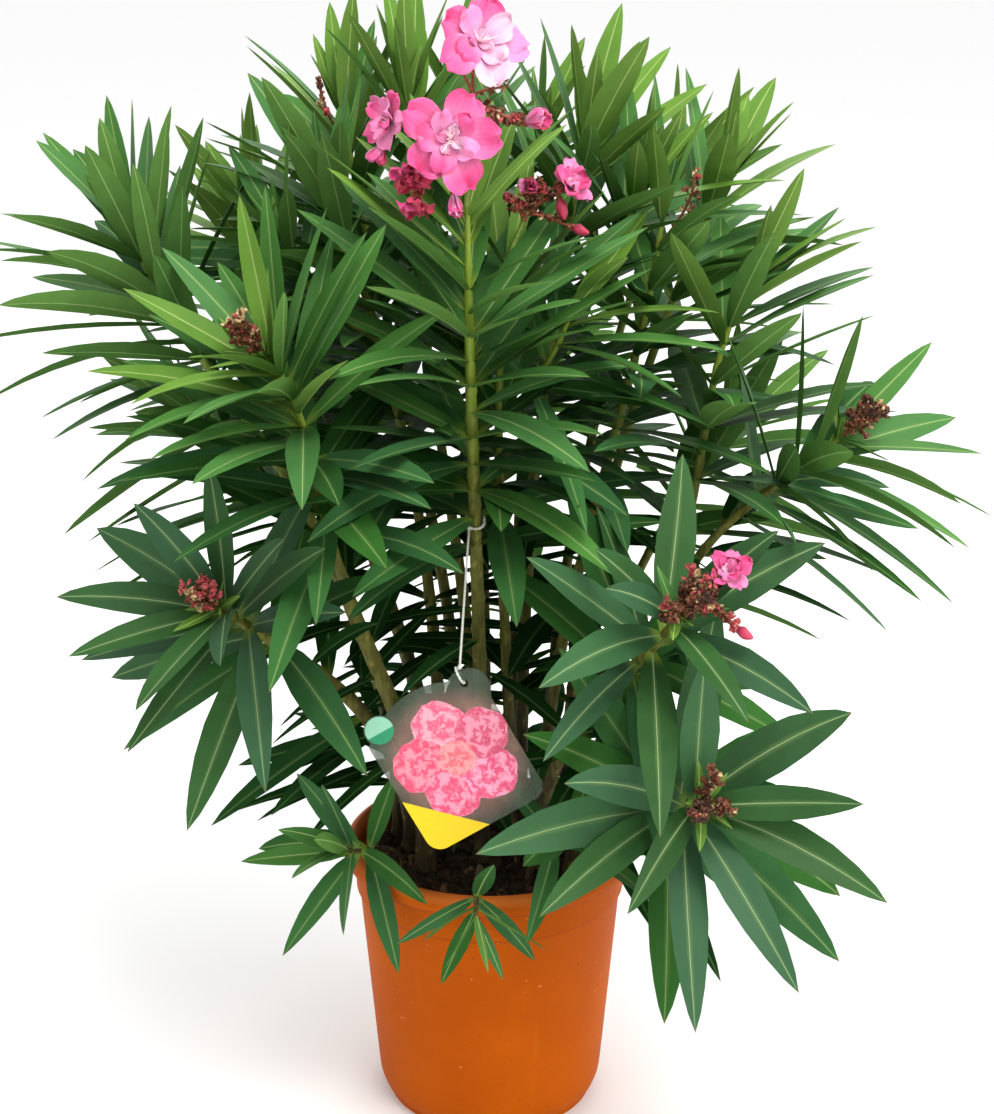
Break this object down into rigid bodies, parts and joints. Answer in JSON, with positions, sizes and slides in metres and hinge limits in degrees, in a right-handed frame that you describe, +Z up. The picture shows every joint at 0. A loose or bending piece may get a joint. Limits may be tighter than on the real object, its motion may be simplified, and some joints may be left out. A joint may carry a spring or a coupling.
{
  "type": "potted oleander",
  "caption": "Bushy oleander shrub with upright stems, whorled narrow leaves and trusses of double pink flowers, growing in a round tapered plastic pot with a hanging plant tag.",
  "frame": {"origin": "centre of the pot's flat underside", "axes": "+Z up along the pot's axis, -Y towards the front, where the tag hangs, +X to the right seen from the front"},
  "size_m": [0.7607, 0.6883, 0.9195],
  "materials": {
    "pot_plastic": "satin, orange terracotta colour",
    "compost": "matt, moist dark compost",
    "stems": "smooth green to olive-brown bark",
    "foliage": "leathery, slightly glossy leaves",
    "flowers": "soft matt petals",
    "tag_plastic": "thin glossy printed sheet",
    "string": "white elastic string"
  },
  "bodies": {
    "root": {"stem_front_centre": "stems", "stem_left_low": "stems", "stem_second": "stems", "stem_left_top": "stems", "stem_top_left": "stems", "stem_top_centre": "stems", "stem_top_right": "stems", "stem_right_inner": "stems", "stem_right_top": "stems", "stem_left_mid": "stems", "stem_right_front": "stems", "stem_right_low": "stems", "stem_back_centre": "stems", "stem_back_low": "stems", "stem_back_right": "stems", "stem_back_right_low": "stems", "stem_left": "stems", "bough_left_front": "stems", "bough_left_far": "stems", "stem_right": "stems", "bough_right_upper": "stems", "bough_right_far": "stems", "stem_back_left": "stems", "bough_back_left_top": "stems", "bough_back_left_low": "stems", "flowers_main": "flowers", "flowers_second": "flowers", "flowers_right": "flowers", "foliage_front_centre": "foliage", "foliage_left_low": "foliage", "foliage_second": "foliage", "foliage_left_top": "foliage", "foliage_top_left": "foliage", "foliage_top_centre": "foliage", "foliage_top_right": "foliage", "foliage_right_inner": "foliage", "foliage_right_top": "foliage", "foliage_left_mid": "foliage", "foliage_right_front": "foliage", "foliage_right_low": "foliage", "foliage_back_centre": "foliage", "foliage_back_low": "foliage", "foliage_back_right": "foliage", "foliage_back_right_low": "foliage", "foliage_left_front": "foliage", "foliage_left_far": "foliage", "foliage_right_upper": "foliage", "foliage_right_far": "foliage", "foliage_back_left_top": "foliage", "foliage_back_left_low": "foliage", "foliage_left_rim": "foliage", "foliage_front_rim": "foliage", "foliage_right_rim": "foliage", "pot": "pot_plastic", "soil": "compost", "tag": "tag_plastic", "tag_string": "string"}
  },
  "joints": []
}
